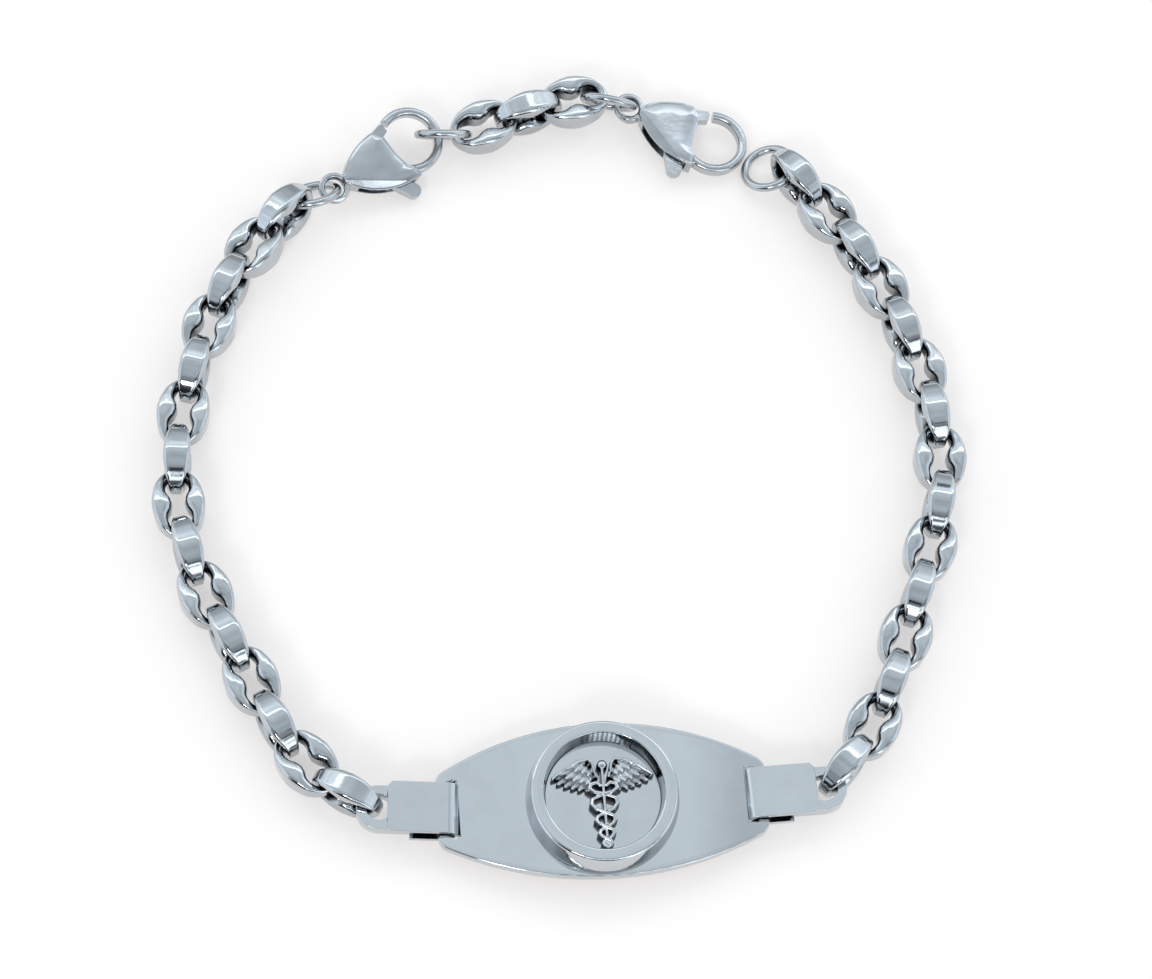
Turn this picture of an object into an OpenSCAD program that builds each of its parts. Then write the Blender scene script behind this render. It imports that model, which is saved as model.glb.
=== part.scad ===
// Medical alert bracelet lying open on a surface, in millimetres. X runs along the ID plate, Y from
// the plate towards the clasps, Z up. Half of the links stand on edge on the surface and carry
// everything else at the height of their own centres.

/* [Chain links] */
// Length of one oval link
link_l = 6.55; // [6.5:0.05:6.7]
// Width of a link lying flat, which is the height of one on edge
link_w = 4.7; // [4.6:0.05:4.8]
// Thickness of a link at its middle
link_t = 2.45; // [2.3:0.05:2.5]
// Width of the bar at each end of a link
link_bar = 0.9; // [0.85:0.05:0.95]
// Links in each of the two long chains
links_a_side = 15; // [15]

/* [ID plate] */
// Length of the plate
plate_l = 28.6; // [28:0.1:29]
// Width of the plate at its middle
plate_w = 13.8; // [13.6:0.1:14]
// Thickness of the plate
plate_t = 1; // [0.9:0.05:1.05]
// Radius of the plate's two long edges
plate_edge_r = 28.7; // [28:0.1:30]
// Radius of the gentle arch along the plate, high in its middle
plate_arch_r = 118; // [110:1:140]

/* [Emblem cup] */
// Outer diameter of the cup at its foot
cup_d = 13.2; // [13:0.1:13.3]
// Outer diameter of its flat rim
cup_rim_d = 12.3; // [12.1:0.1:12.5]
// Bore of the cup at its rim
cup_bore_d = 10.4; // [10.2:0.1:10.4]
// Height of the cup above the plate
cup_h = 2.4; // [2.2:0.1:2.6]
// Height of the cup's floor above the plate
cup_floor = 0.6; // [0.5:0.05:0.7]
// Height of the caduceus above that floor
emblem_h = 1.2; // [1:0.05:1.4]

/* [Bands] */
// Width of the folded sheet
band_w = 4.5; // [4.4:0.05:4.6]
// Length of the folded sheet, from its bend to its cut ends
band_l = 6.3; // [6.2:0.1:6.5]
// Thickness of the sheet
sheet_t = 0.45; // [0.4:0.05:0.5]
// Angle by which each band rises from the plate towards its end loop
band_rise = 2.5; // [2:0.5:3]
// Width of the metal round the end loop's hole
loop_bar = 0.8; // [0.75:0.05:0.85]
// Radius of the hole in the end loop
loop_bore = 1.15; // [1.1:0.05:1.2]

/* [Jump rings] */
// Outer diameter of a jump ring
ring_d = 5.45; // [5.4:0.05:5.5]
// Diameter of its wire
ring_wire = 0.8; // [0.75:0.05:0.85]

/* [Lobster clasps] */
// Outer diameter of a clasp's eye
eye_d = 2.9; // [2.8:0.05:3]
// Bore of the eye
eye_bore_d = 1.85; // [1.8:0.05:1.9]
// Distance from the eye's centre to the hook's centre
clasp_reach = 8.55; // [8.5:0.05:8.6]
// Outer diameter of the hook
hook_d = 6.36; // [6.3:0.02:6.4]
// Inner diameter of the hook
hook_bore_d = 4.7; // [4.6:0.05:4.75]
// Thickness of a clasp's body
clasp_t = 2.2; // [2:0.05:2.3]
// Thickness of its hook
hook_t = 1.3; // [1.2:0.05:1.4]
// Thickness of its lever
lever_t = 0.9; // [0.8:0.05:0.9]

/* [Hidden] */
$fn = 64;

// Where the plate's middle lies, and the shift that centres the whole bracelet on the origin
plate_y = -31.33;
centre_shift = [1.09, -0.81];
// Height of the middle of every link, and of the middle of the plate
chain_z = link_w / 2;
plate_z = chain_z + 0.5;

// Distance between neighbouring links, which leaves their bars a little play
link_play = 0.27;
link_step = link_l - 2 * link_bar - link_play;
// The ways below were laid out for a plate of this half length, and each chain reaches this far.
// With a longer or shorter plate each chain starts at its new end and turns a little about it, so
// that the clasps stay in place
laid_out = [14.3, 59];
spread = atan((plate_l / 2 - laid_out[0]) / laid_out[1]);

// Middle of link k (from 0) of a chain, and the far end of a whole chain
function link_at(start, ways, k) = k == 0 ? start + link_step / 2 * [cos(ways[0]), sin(ways[0])]
    : link_at(start, ways, k - 1) + link_step / 2 * [cos(ways[k - 1]) + cos(ways[k]),
        sin(ways[k - 1]) + sin(ways[k])];
function chain_end(start, ways) = let (last = len(ways) - 1)
    link_at(start, ways, last) + link_step / 2 * [cos(ways[last]), sin(ways[last])];
// A place given from a chain's end, with its own height
function past(end, offset) = [end[0] + offset[0], end[1] + offset[1], offset[2]];

// Where each chain starts, and the way each of its links points, counted from the plate
left_start = [-(plate_l / 2 + 5.57), -30.52];
left_ways = [for (way = [149, 130, 117, 114, 115, 112, 104, 94, 85, 78, 73, 68, 61, 53, 45])
    way - spread];
right_start = [plate_l / 2 + 5.48, -30.66];
right_ways = [for (way = [45, 58, 66, 69, 69, 69, 77, 87, 96, 102, 107, 112, 118, 123, 124])
    way + spread];
left_end = chain_end(left_start, left_ways);
right_end = chain_end(right_start, right_ways);
extender_start = [left_end[0] + 15.15, left_end[1] + 6.11];
extender_ways = [21, 15, 10];

// Where each jump ring's centre lies, the way its low line runs and how steeply it leans
left_ring_at = past(left_end, [1.04, 0.52, 2]);
left_ring_turn = 16.2;
left_ring_lean = -42.9;
extender_ring_1_at = past(left_end, [13.42, 6.17, 2.48]);
extender_ring_1_turn = -2.3;
extender_ring_1_lean = -62.5;
extender_ring_2_at = past(left_end, [29.12, 9.02, 2.56]);
extender_ring_2_turn = -13.8;
extender_ring_2_lean = -67.2;
right_ring_at = past(right_end, [-1.06, -0.10, 1.38]);
right_ring_turn = 54.2;
right_ring_lean = -24.2;

// Where each clasp's eye lies, the way it points and how far its hook end dips
clasp_1_at = past(left_end, [3.07, 1.12, 2]);
clasp_1_turn = 32;
clasp_1_dip = 0;
clasp_1_roll = 15;
clasp_2_at = past(left_end, [31.07, 8.62, 1.95]);
clasp_2_turn = -26.5;
clasp_2_dip = 5;
clasp_2_roll = 0;

// Corner points of a quarter of a link's outline, as shares of its half length and half width
link_outline = [[1, 0.16], [0.92, 0.42], [0.62, 0.8], [0, 1]];
// Its half thickness along its length, as shares of the half length and half thickness
link_barrel = [[0, 1], [0.28, 1], [0.7, 0.72], [1, 0.45]];
// Half thickness of its rim before the bevel, and the width of the bevel
rim_share = 0.62;
bevel_w = 0.6;
// The hourglass hole: half widths at its pockets and its waist
pocket_w = 1.1;
waist_w = 0.53;

function mirrored(quarter) = concat(
    quarter,
    [for (i = [len(quarter) - 1:-1:0]) [-quarter[i][0], quarter[i][1]]],
    [for (p = quarter) [-p[0], -p[1]]],
    [for (i = [len(quarter) - 1:-1:0]) [quarter[i][0], -quarter[i][1]]]);

// One solid link lying flat, its length along X
module link() {
    half_l = link_l / 2;
    half_w = link_w / 2;
    half_t = link_t / 2;
    rim = half_t * rim_share;
    hole_end = half_l - link_bar;
    difference() {
        intersection() {
            linear_extrude(link_t, center = true)
                polygon(mirrored([for (p = link_outline) [p[0] * half_l, p[1] * half_w]]));
            rotate([90, 0, 0]) linear_extrude(link_w + 1, center = true)
                polygon(mirrored([for (i = [3:-1:1]) [link_barrel[i][0] * half_l,
                    link_barrel[i][1] * half_t]]));
            rotate([90, 0, 90]) linear_extrude(link_l + 1, center = true)
                polygon(mirrored([[half_w, rim], [half_w - bevel_w, half_t]]));
        }
        linear_extrude(link_t + 1, center = true)
            polygon(mirrored([[hole_end, pocket_w - 0.15], [hole_end - 0.15, pocket_w],
                [hole_end - 1.05, pocket_w], [0.4, waist_w]]));
        for (end = [0, 180], side = [0, 180]) rotate([0, 0, end]) rotate([side, 0, 0])
            rotate([90, 0, 0]) linear_extrude(2 * pocket_w, center = true)
                polygon([[hole_end - 0.2, 0.25], [hole_end + 0.6, half_t], [hole_end - 0.2, half_t]]);
        for (face = [0, 180], side = [-1, 1]) rotate([face, 0, 0])
            rotate([90, 0, 90]) linear_extrude(2.2, center = true)
                polygon([[side * 0.45, 0.65], [side * 1.1, half_t + 0.05], [0, half_t + 0.05],
                    [0, 0.65]]);
    }
}

// Puts a piece at a place of the bracelet, turned about the vertical
module placed(at, turn = 0) {
    color("silver") translate([at[0] + centre_shift[0], at[1] + centre_shift[1], at[2]])
        rotate([0, 0, turn]) children();
}

// Links on edge come first, next to the plate, and last, next to the clasps
module chain_link(start, ways, k, on_edge, roll = 0) {
    at = link_at(start, ways, k - 1);
    placed([at[0], at[1], chain_z + roll * roll_lift], ways[k - 1])
        rotate([(on_edge ? 90 : 0) - roll, 0, 0]) link();
}
// The left ring rolls the last four links of its chain over, each a step more than the one before
roll_step = 3.5;
roll_lift = 0.011;
module left_link(k) chain_link(left_start, left_ways, k, k % 2 == 1,
    roll_step * max(0, k + 4 - links_a_side));
module right_link(k) chain_link(right_start, right_ways, k, k % 2 == 1);
module extender_link(k) chain_link(extender_start, extender_ways, k, k == 2);

module jump_ring(at, turn, lean) {
    placed(at, turn) rotate([lean, 0, 0])
        rotate_extrude() translate([(ring_d - ring_wire) / 2, 0]) circle(d = ring_wire, $fn = 24);
}

module left_ring() jump_ring(left_ring_at, left_ring_turn, left_ring_lean);
module extender_ring_1() jump_ring(extender_ring_1_at, extender_ring_1_turn, extender_ring_1_lean);
module extender_ring_2() jump_ring(extender_ring_2_at, extender_ring_2_turn, extender_ring_2_lean);
module right_ring() jump_ring(right_ring_at, right_ring_turn, right_ring_lean);

// Distance from the plate's middle to the near edge of its slots, and the slots' size
slot_near = plate_l / 2 - 2.35;
slot_l = 1.3;
slot_w = band_w + 0.5;
slot_x = slot_near + slot_l / 2;
plate_corner = 0.5;
// The arch: its axis runs across the plate, below it
arch_top = plate_z + plate_t / 2;
function arch_z(x) = plate_z - plate_arch_r + sqrt(pow(plate_arch_r, 2) - x * x);
module arch_cylinder(r) translate([0, 0, arch_top - plate_arch_r]) rotate([90, 0, 0])
    cylinder(h = 2 * plate_w, r = r, center = true, $fn = 256);

module id_plate() {
    half_l = plate_l / 2;
    half_w = plate_edge_r - plate_w / 2;
    end_w = sqrt(pow(plate_edge_r, 2) - half_l * half_l) - half_w;
    placed([0, plate_y, 0]) difference() {
        intersection() {
            linear_extrude(3 * arch_top) difference() {
                intersection() {
                    translate([0, -half_w]) circle(plate_edge_r, $fn = 128);
                    translate([0, half_w]) circle(plate_edge_r, $fn = 128);
                    polygon(mirrored([[half_l, end_w - plate_corner / 2],
                        [half_l - plate_corner / 2, end_w + plate_corner / 2], [0, plate_w]]));
                }
                for (side = [-1, 1]) translate([side * slot_x, 0])
                    square([slot_l, slot_w], center = true);
            }
            arch_cylinder(plate_arch_r);
        }
        arch_cylinder(plate_arch_r - plate_t);
    }
}

cup_x = -0.1;
floor_z = arch_top + cup_floor;
module emblem_cup() {
    foot_h = 0.5;
    placed([cup_x, plate_y, 0]) difference() {
        translate([0, 0, arch_top]) rotate_extrude($fn = 96) polygon([[0, -foot_h],
            [cup_d / 2, -foot_h], [cup_d / 2, 0.3], [cup_rim_d / 2 + 0.15, cup_h - 0.15],
            [cup_rim_d / 2, cup_h], [cup_bore_d / 2, cup_h], [cup_bore_d / 2 - 0.2, cup_floor],
            [0, cup_floor]]);
        translate([-cup_x, 0, 0]) arch_cylinder(plate_arch_r);
    }
}

// Right wing of the caduceus from the staff outwards: three layers of feathers, each lower one
// reaching further down. Then the half width and half height of the coils that the snakes make
// round the staff, with each coil's middle
wing_layers = [
    [[0.1, 1.1], [0.36, 1.85], [0.62, 2.35], [0.75, 2.95], [1.0, 3.2], [1.5, 3.05], [1.95, 3.0],
        [3.0, 2.5], [4.42, 1.5], [3.95, 1.2], [3.7, 1.2], [3.75, 0.75], [3.3, 0.85], [3.1, 0.4],
        [2.65, 0.55], [2.4, 0.1], [1.95, 0.3], [1.35, -0.05], [0.85, 0.4], [0.2, 0.8]],
    [[0.1, 1.3], [0.5, 2.0], [0.8, 2.85], [1.1, 3.05], [1.9, 2.8], [2.9, 2.35], [3.7, 1.75],
        [3.2, 1.6], [3.0, 1.65], [2.6, 1.2], [2.3, 1.35], [1.9, 0.9], [1.5, 1.15], [1.1, 0.75]],
    [[0.1, 1.5], [0.5, 1.9], [0.85, 2.65], [1.2, 2.8], [1.9, 2.55], [2.65, 2.15], [2.2, 2.0],
        [1.8, 1.75], [1.5, 1.8], [1.1, 1.4]]];
coils = [[-0.85, 0.85, 0.37], [-2.33, 0.7, 0.26], [-3.56, 0.56, 0.15], [-4.43, 0.42, 0.06]];
snake_w = 0.33;

module caduceus() {
    ball_d = 1;
    top = 0.95;
    bottom = -4.9;
    placed([cup_x, plate_y, floor_z]) {
        translate([-0.21, bottom + 0.1, 0]) cube([0.42, 2.4 - bottom, emblem_h * 0.85]);
        translate([0.03, 2.55, 0]) cylinder(h = emblem_h * top, d = ball_d, $fn = 32);
        for (side = [0, 1]) mirror([side, 0, 0]) {
            for (layer = [0:2]) linear_extrude(emblem_h * (0.6 + 0.2 * layer))
                polygon(wing_layers[layer]);
            // The snake's neck, looping out under the wing
            translate([0.68, 0.45, 0]) linear_extrude(emblem_h * 0.9) difference() {
                circle(0.74, $fn = 32);
                circle(0.3, $fn = 24);
            }
        }
        for (c = coils) translate([0, c[0], 0]) linear_extrude(emblem_h * 0.8) difference() {
            for (side = [-1, 1]) translate([side * c[2], 0]) circle(c[1], $fn = 48);
            for (side = [-1, 1]) translate([side * c[2], 0]) circle(c[1] - snake_w, $fn = 48);
        }
    }
}

// A band for the plate's right end, folded through its slot, with the end loop soldered into the
// fold; the left one is mirrored. Each leans a little away from the plate's own line
left_lean = 4;
right_lean = 1;
band_h = plate_t + 0.6 + 2 * sheet_t;
loop_t = 1.4;
loop_stem = 2.3;
band_corner = 0.4;
module band(side, lean) {
    bend_r = band_h / 2;
    bend_x = slot_near + 0.28;
    end_x = bend_x + band_l;
    hole_x = end_x + 0.7;
    hinge_x = slot_x + 1.1;
    loop_top = bend_r - sheet_t;
    loop_r = loop_bore + loop_bar;
    placed([0, plate_y, 0]) mirror([side < 0 ? 1 : 0, 0, 0])
        translate([hinge_x, 0, arch_z(hinge_x)]) rotate([0, -band_rise, lean])
        translate([-hinge_x, 0, 0]) {
            intersection() {
                rotate([90, 0, 0]) linear_extrude(band_w, center = true) difference() {
                    union() {
                        translate([bend_x + bend_r, 0]) circle(bend_r);
                        translate([bend_x + bend_r, 0]) square([band_l - bend_r, bend_r]);
                        translate([bend_x + bend_r, -bend_r])
                            square([band_l - bend_r - loop_stem + 0.3, bend_r]);
                    }
                    translate([bend_x + bend_r, 0]) circle(bend_r - sheet_t);
                    translate([bend_x + bend_r, sheet_t - bend_r])
                        square([band_l, band_h - 2 * sheet_t]);
                }
                translate([bend_x - band_corner, 0, -bend_r]) linear_extrude(band_h)
                    polygon([[0, -band_w / 2], [band_l, -band_w / 2],
                        [band_l + band_corner, band_corner - band_w / 2],
                        [band_l + band_corner, band_w / 2 - band_corner],
                        [band_l, band_w / 2], [0, band_w / 2]]);
            }
            difference() {
                translate([0, 0, loop_top - loop_t]) linear_extrude(loop_t) union() {
                    translate([hole_x, 0]) circle(loop_r);
                    translate([end_x - loop_stem, -loop_r])
                        square([hole_x - end_x + loop_stem, 2 * loop_r]);
                }
                translate([hole_x, 0, 0]) cylinder(h = 3 * loop_t, r = loop_bore, center = true);
            }
        }
}
module left_band() band(-1, left_lean);
module right_band() band(1, right_lean);

// A lobster clasp lies along X from its eye, its lever's tab on the -Y side
pivot = [3.6, 0.9];
pin_r = 0.4;
pin_play = 0.07;
hub_r = 0.85;
eye_t = 0.9;
hook_y = 0.2;
slot_t = lever_t + 0.3;
hook_tip_angle = 113;

module clasp_outline() {
    intersection() {
        translate([5.84, -3.77]) circle(6.32, $fn = 96);
        translate([6.7, 3.59]) circle(6.86, $fn = 96);
        polygon([[1.05, -3], [1.05, 3], [5.2, 3], [6.45, 1.6], [6.6, -0.4], [6.9, -1.7], [7.5, -2.3],
            [7.6, -4], [2, -4]]);
    }
}

module lever_slot() {
    linear_extrude(slot_t, center = true) polygon([[2.2, 0.4], [2.6, 1.35], [3.2, 1.95], [4.2, 2.15],
        [4.6, 3.2], [7, 3.4], [7, -2.2], [6.95, -5], [1.4, -5], [1.9, -1.2]]);
}

// Takes a slanting facet off both faces of a clasp, left of a line from a point
module face_facets(from, way, drop) {
    for (face = [0, 1]) mirror([0, 0, face]) translate([from[0], from[1], 0]) rotate([0, 0, way])
        rotate([90, 0, 90]) linear_extrude(20, center = true)
            polygon([[0, clasp_t / 2], [3, clasp_t / 2 - 3 * drop], [3, clasp_t]]);
}

module clasp_body(at, turn, dip, roll) {
    placed(at, turn) rotate([0, dip, 0]) rotate([roll, 0, 0]) {
        difference() {
            union() {
                linear_extrude(clasp_t, center = true) clasp_outline();
                linear_extrude(eye_t, center = true) circle(d = eye_d);
                linear_extrude(hook_t, center = true) translate([clasp_reach, hook_y]) difference() {
                    circle(d = hook_d);
                    circle(d = hook_bore_d);
                    polygon([[0, 0], for (a = [hook_tip_angle:10:240]) hook_d * [cos(a), sin(a)]]);
                }
            }
            cylinder(h = clasp_t + 1, d = eye_bore_d, center = true);
            lever_slot();
            face_facets([2, -0.6], 149, 0.45);
            face_facets([2, 1.1], 24, 0.35);
        }
        translate(pivot) cylinder(h = clasp_t - 0.2, r = pin_r, center = true);
    }
}

module lever(at, turn, dip, roll) {
    placed(at, turn) rotate([0, dip, 0]) rotate([roll, 0, 0]) difference() {
        linear_extrude(lever_t, center = true) union() {
            translate(pivot) circle(hub_r);
            polygon([[2.9, 0.8], [3.1, -0.6], [4.6, -2.7], [5.6, -4.35], [6.85, -3.7], [5.9, -2.4],
                [4.7, -0.6], [4.3, 0.4], [5.2, 1], [6.5, 1.65], [7.25, 2], [7.15, 2.75],
                [6.9, 2.92], [5, 2.35], [3.4, 1.6]]);
            translate([6.2, -4]) circle(0.72);
        }
        translate(pivot) cylinder(h = 2 * clasp_t, r = pin_r + pin_play, center = true);
    }
}
module clasp_1() clasp_body(clasp_1_at, clasp_1_turn, clasp_1_dip, clasp_1_roll);
module clasp_1_lever() lever(clasp_1_at, clasp_1_turn, clasp_1_dip, clasp_1_roll);
module clasp_2() clasp_body(clasp_2_at, clasp_2_turn, clasp_2_dip, clasp_2_roll);
module clasp_2_lever() lever(clasp_2_at, clasp_2_turn, clasp_2_dip, clasp_2_roll);

id_plate();
emblem_cup();
caduceus();
left_band();
right_band();
left_link(1);  // left_link_01
left_link(2);  // left_link_02
left_link(3);  // left_link_03
left_link(4);  // left_link_04
left_link(5);  // left_link_05
left_link(6);  // left_link_06
left_link(7);  // left_link_07
left_link(8);  // left_link_08
left_link(9);  // left_link_09
left_link(10);  // left_link_10
left_link(11);  // left_link_11
left_link(12);  // left_link_12
left_link(13);  // left_link_13
left_link(14);  // left_link_14
left_link(15);  // left_link_15
right_link(1);  // right_link_01
right_link(2);  // right_link_02
right_link(3);  // right_link_03
right_link(4);  // right_link_04
right_link(5);  // right_link_05
right_link(6);  // right_link_06
right_link(7);  // right_link_07
right_link(8);  // right_link_08
right_link(9);  // right_link_09
right_link(10);  // right_link_10
right_link(11);  // right_link_11
right_link(12);  // right_link_12
right_link(13);  // right_link_13
right_link(14);  // right_link_14
right_link(15);  // right_link_15
left_ring();
clasp_1();
clasp_1_lever();
extender_ring_1();
extender_link(1);  // extender_link_1
extender_link(2);  // extender_link_2
extender_link(3);  // extender_link_3
extender_ring_2();
clasp_2();
clasp_2_lever();
right_ring();
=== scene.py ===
# %% [markdown]
# A medical alert bracelet of polished stainless steel, lying open on a pale table: an ID plate with
# a raised cup and a caduceus, two folded bands, two chains of puffed oval links, jump rings and two
# lobster clasps. This lesson dresses the plain solids of the CAD model with smooth, rounded metal.
# Everything is in metres in the CAD model's own frame, so each piece goes where its solid is.

# %% Load the CAD model
import bmesh
import bpy
import math
import numpy as np
from mathutils import Euler, Matrix, Vector


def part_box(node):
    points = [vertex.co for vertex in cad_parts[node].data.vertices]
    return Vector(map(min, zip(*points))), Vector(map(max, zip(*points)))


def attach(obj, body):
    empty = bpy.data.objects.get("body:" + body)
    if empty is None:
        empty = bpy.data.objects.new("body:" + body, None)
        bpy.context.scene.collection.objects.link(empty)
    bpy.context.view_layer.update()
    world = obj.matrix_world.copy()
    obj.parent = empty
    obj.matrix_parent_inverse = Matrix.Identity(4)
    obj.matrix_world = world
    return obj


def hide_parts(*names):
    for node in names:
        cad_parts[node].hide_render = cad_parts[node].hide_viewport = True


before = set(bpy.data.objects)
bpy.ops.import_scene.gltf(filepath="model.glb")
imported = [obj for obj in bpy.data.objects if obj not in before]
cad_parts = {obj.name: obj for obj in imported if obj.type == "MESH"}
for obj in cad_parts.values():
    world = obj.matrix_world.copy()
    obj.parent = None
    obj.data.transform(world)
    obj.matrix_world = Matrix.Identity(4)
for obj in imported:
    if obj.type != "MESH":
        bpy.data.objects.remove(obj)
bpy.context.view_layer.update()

MM = 0.001

# %% [markdown]
# The camera comes first, because every later choice is judged through it. The photograph was taken
# from high above and a little in front with a long lens, which flattens the perspective. A camera
# matrix with right, up and backward directions says exactly how it is turned, with no guessing of
# angles.

# %% Camera
camera_data = bpy.data.cameras.new("camera")
camera_data.sensor_width = 36
camera_data.lens = 109.42
camera = bpy.data.objects.new("camera", camera_data)
bpy.context.scene.collection.objects.link(camera)
backward = Vector((-0.098882, -0.395533, 0.913113)).normalized()
rightward = Vector((0.99426, -0.076954, 0.074335)).normalized()
turned = Matrix((rightward, backward.cross(rightward), backward)).transposed().to_4x4()
camera.matrix_world = Matrix.Translation(Vector((-29.805, -126.231, 287.349)) * MM) @ turned
camera_data.clip_start, camera_data.clip_end = 0.01, 10
bpy.context.scene.camera = camera
print("camera at", [round(v, 3) for v in camera.location])

# %% [markdown]
# Polished steel has almost no colour of its own: it shows the room. The shader is metallic with a
# low roughness, and two noises break it up. A fine one gives the slight grain of a tumbled finish
# to bump, and a coarse one clouds the colour and the roughness, as fingers and wear do. Shade is
# painted into the colour: an attribute on the points, from 0 to 1, says how far the colour goes
# towards near-black in pockets and hollows, so the painted shade follows the shape when a size
# changes.

# %% Steel finishes
WEAR_SCALE, WEAR_DETAIL = 420, 4
GRAIN_DETAIL, GRAIN_STRENGTH = 3, 0.35
PAINTED_SHADE_COLOUR = (0.015, 0.016, 0.018, 1)

def steel(name, tint, smooth, rough, grain, depth, clouds):
    made = bpy.data.materials.new(name)
    made.use_nodes = True
    nodes, links = made.node_tree.nodes, made.node_tree.links
    shader = nodes["Principled BSDF"]
    shader.inputs["Base Color"].default_value = (*tint, 1)
    shader.inputs["Metallic"].default_value = 1
    place = nodes.new("ShaderNodeTexCoord")
    wear = nodes.new("ShaderNodeTexNoise")
    wear.inputs["Scale"].default_value = WEAR_SCALE
    wear.inputs["Detail"].default_value = WEAR_DETAIL
    spread = nodes.new("ShaderNodeMapRange")
    spread.inputs["To Min"].default_value = smooth
    spread.inputs["To Max"].default_value = rough
    cloud = nodes.new("ShaderNodeMix")
    cloud.data_type = "RGBA"
    cloud.inputs["A"].default_value = (*[(1 - clouds) * c for c in tint], 1)
    cloud.inputs["B"].default_value = (*[(1 + clouds) * c for c in tint], 1)
    # painted shade: a point's attribute value mixes a near-black colour into its base colour
    shade_attribute = nodes.new("ShaderNodeAttribute")
    shade_attribute.attribute_name = "recess"
    dark = nodes.new("ShaderNodeMix")
    dark.data_type = "RGBA"
    dark.inputs["B"].default_value = PAINTED_SHADE_COLOUR
    fine = nodes.new("ShaderNodeTexNoise")
    fine.inputs["Scale"].default_value = grain
    fine.inputs["Detail"].default_value = GRAIN_DETAIL
    bump = nodes.new("ShaderNodeBump")
    bump.inputs["Strength"].default_value = GRAIN_STRENGTH
    bump.inputs["Distance"].default_value = depth
    links.new(place.outputs["Object"], wear.inputs["Vector"])
    links.new(place.outputs["Object"], fine.inputs["Vector"])
    links.new(wear.outputs["Fac"], spread.inputs["Value"])
    links.new(wear.outputs["Fac"], cloud.inputs["Factor"])
    links.new(cloud.outputs["Result"], dark.inputs["A"])
    links.new(shade_attribute.outputs["Fac"], dark.inputs["Factor"])
    links.new(dark.outputs["Result"], shader.inputs["Base Color"])
    links.new(spread.outputs["Result"], shader.inputs["Roughness"])
    links.new(fine.outputs["Fac"], bump.inputs["Height"])
    links.new(bump.outputs["Normal"], shader.inputs["Normal"])
    return made

link_steel = steel("polished_link_steel", (0.50, 0.525, 0.545), 0.04, 0.14, 900, 0.00002, 0.2)
mirror_steel = steel("mirror_plate_steel", (0.56, 0.585, 0.605), 0.04, 0.12, 1400, 0.000006, 0.07)
wire_steel = steel("drawn_wire_steel", (0.46, 0.48, 0.495), 0.08, 0.2, 1100, 0.00002, 0.2)
clasp_steel = steel("tumbled_clasp_steel", (0.50, 0.52, 0.54), 0.1, 0.3, 1500, 0.00005, 0.25)
cast_steel = steel("cast_emblem_steel", (0.58, 0.60, 0.615), 0.08, 0.22, 1600, 0.00003, 0.2)
print("finishes:", [m.name for m in bpy.data.materials])

# %% [markdown]
# All the pieces share a few helpers. One makes a mesh object from points and faces in millimetres,
# one joins two rows of points with a strip of faces, one turns every face outwards, and one shades
# a piece smooth but keeps its crisp edges.

# %% Helpers that make a mesh
MERGE = 0.000001

def mesh_piece(name, points, faces, material):
    mesh = bpy.data.meshes.new(name)
    mesh.from_pydata([tuple(float(c) * MM for c in p) for p in points], [], faces)
    mesh.materials.append(material)
    made = bpy.data.objects.new(name, mesh)
    bpy.context.scene.collection.objects.link(made)
    return made

def strip(a, b, n, closed=True):
    return [(a + i, a + (i + 1) % n, b + (i + 1) % n, b + i) for i in range(n if closed else n - 1)]

def face_outwards(piece):
    work = bmesh.new()
    work.from_mesh(piece.data)
    bmesh.ops.remove_doubles(work, verts=work.verts, dist=MERGE)
    bmesh.ops.recalc_face_normals(work, faces=work.faces)
    work.to_mesh(piece.data)
    work.free()

def shade(piece, crisp):
    piece.data.polygons.foreach_set("use_smooth", [True] * len(piece.data.polygons))
    work = bmesh.new()
    work.from_mesh(piece.data)
    for edge in work.edges:
        edge.smooth = not (edge.is_manifold and edge.calc_face_angle(0) > math.radians(crisp))
    work.to_mesh(piece.data)
    work.free()

print("points closer than", MERGE, "m are merged")

# %% [markdown]
# More helpers finish a piece. One turns modifiers into a plain mesh, one bevels the edges and evens
# the normals, so that flat faces stay flat in the reflections, and one stores how much painted
# shade each point gets. The last puts the piece under the empty of the body it moves with and
# hides the solids it stands for.

# %% Helpers that finish a piece
BEVEL_SEGMENTS, BEVEL_FROM = 3, 30

def baked(source, name, material):
    shown = source.evaluated_get(bpy.context.evaluated_depsgraph_get())
    mesh = bpy.data.meshes.new_from_object(shown)
    mesh.name = name
    mesh.materials.clear()
    mesh.materials.append(material)
    made = bpy.data.objects.new(name, mesh)
    bpy.context.scene.collection.objects.link(made)
    bpy.data.objects.remove(source)
    return made

def even_normals(piece, bevel_mm=0):
    piece.data.polygons.foreach_set("use_smooth", [True] * len(piece.data.polygons))
    if bevel_mm:
        bevel = piece.modifiers.new("bevel", "BEVEL")
        bevel.width, bevel.segments = bevel_mm * MM, BEVEL_SEGMENTS
        bevel.limit_method, bevel.angle_limit = "ANGLE", math.radians(BEVEL_FROM)
    weighted = piece.modifiers.new("even", "WEIGHTED_NORMAL")
    weighted.keep_sharp = True
    return baked(piece, piece.name + "_finish", piece.data.materials[0])

# painted shade: stores how far each point's colour goes towards near-black
def paint_shade(piece, values):
    recess = piece.data.attributes.new("recess", "FLOAT", "POINT")
    recess.data.foreach_set("value", np.asarray(values, np.float32))

def finished(piece, nodes, body="bracelet"):
    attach(piece, body)
    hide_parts(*nodes)
    print(piece.name, len(piece.data.polygons), "faces, stands for", len(nodes), "solids")

print("edges sharper than", BEVEL_FROM, "degrees get a bevel of", BEVEL_SEGMENTS, "steps")

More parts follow.
